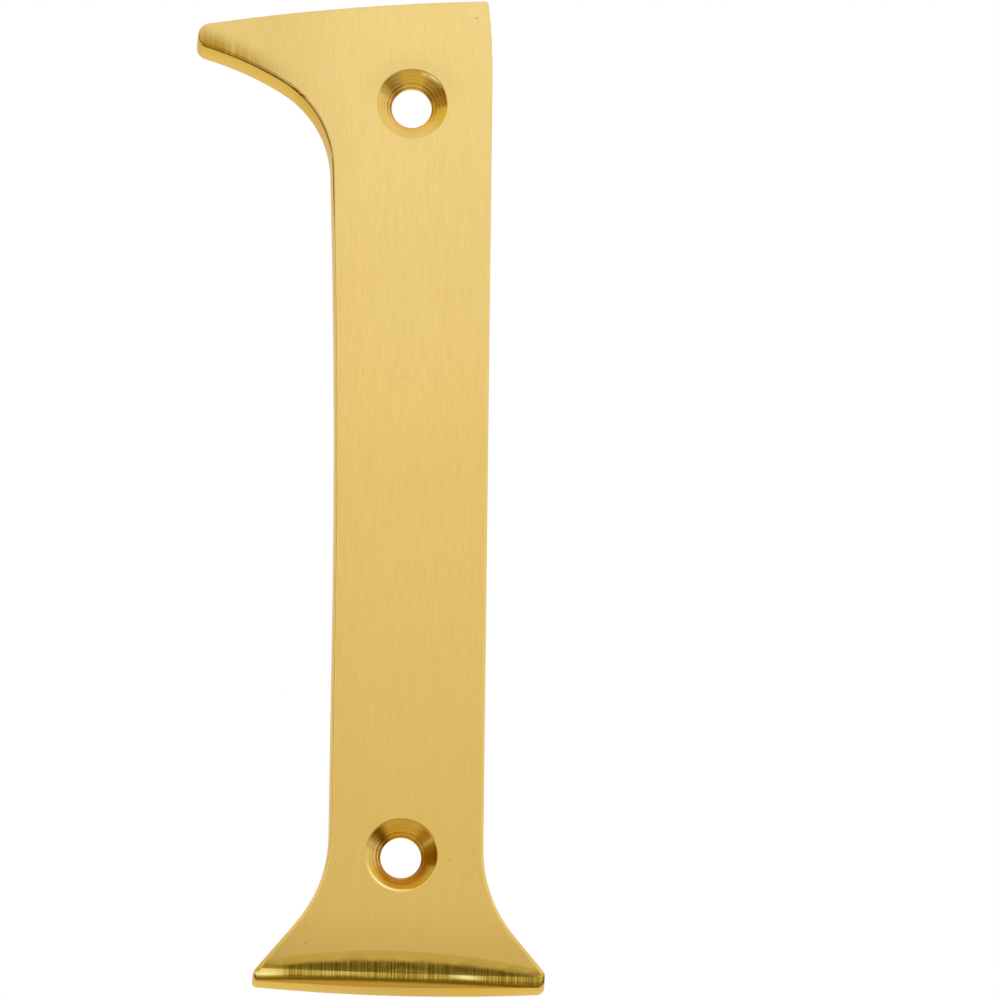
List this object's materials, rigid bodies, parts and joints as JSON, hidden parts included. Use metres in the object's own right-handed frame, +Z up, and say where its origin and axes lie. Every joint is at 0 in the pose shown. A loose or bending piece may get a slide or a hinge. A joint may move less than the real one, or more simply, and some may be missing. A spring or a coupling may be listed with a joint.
{
  "type": "door number",
  "caption": "Cast figure one for a door, with a short flag, a flared foot, countersunk screw holes in its flat front and a hollow back.",
  "frame": {"origin": "on the plane of the back rim, midway between the two screw holes", "axes": "+Z up the figure through both screw holes, +Y into the door, so the face looks along -Y"},
  "size_m": [0.0368, 0.0045, 0.1028],
  "materials": {
    "satin_brass": "satin front with a fine upright grain, polished edges, plain cast recess behind"
  },
  "bodies": {
    "root": {"numeral": "satin_brass"}
  },
  "joints": []
}
